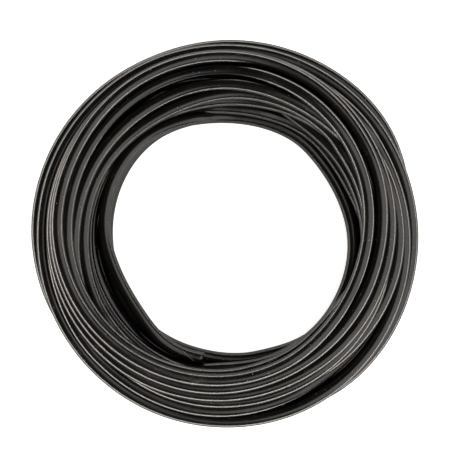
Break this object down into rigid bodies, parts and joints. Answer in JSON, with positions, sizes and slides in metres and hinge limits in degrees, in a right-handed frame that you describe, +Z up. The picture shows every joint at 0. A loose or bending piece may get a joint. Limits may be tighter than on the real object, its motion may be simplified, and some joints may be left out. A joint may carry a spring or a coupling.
{
  "type": "soaker hose",
  "caption": "Coiled porous rubber soaker hose with two plain open ends, wound in four layers into a flat ring that lies on the ground.",
  "frame": {"origin": "the coil's axis at the height of the surface that it lies on", "axes": "+Z up along the coil's axis, +X to the right and +Y away in the view from above in which the upper end points right"},
  "size_m": [0.4919, 0.4919, 0.0613],
  "materials": {
    "porous_rubber": "dull satin, extruded from rubber crumb, with fine lengthwise lines"
  },
  "bodies": {
    "root": {"hose_coil": "porous_rubber", "upper_end": "porous_rubber", "lower_end": "porous_rubber"}
  },
  "joints": []
}
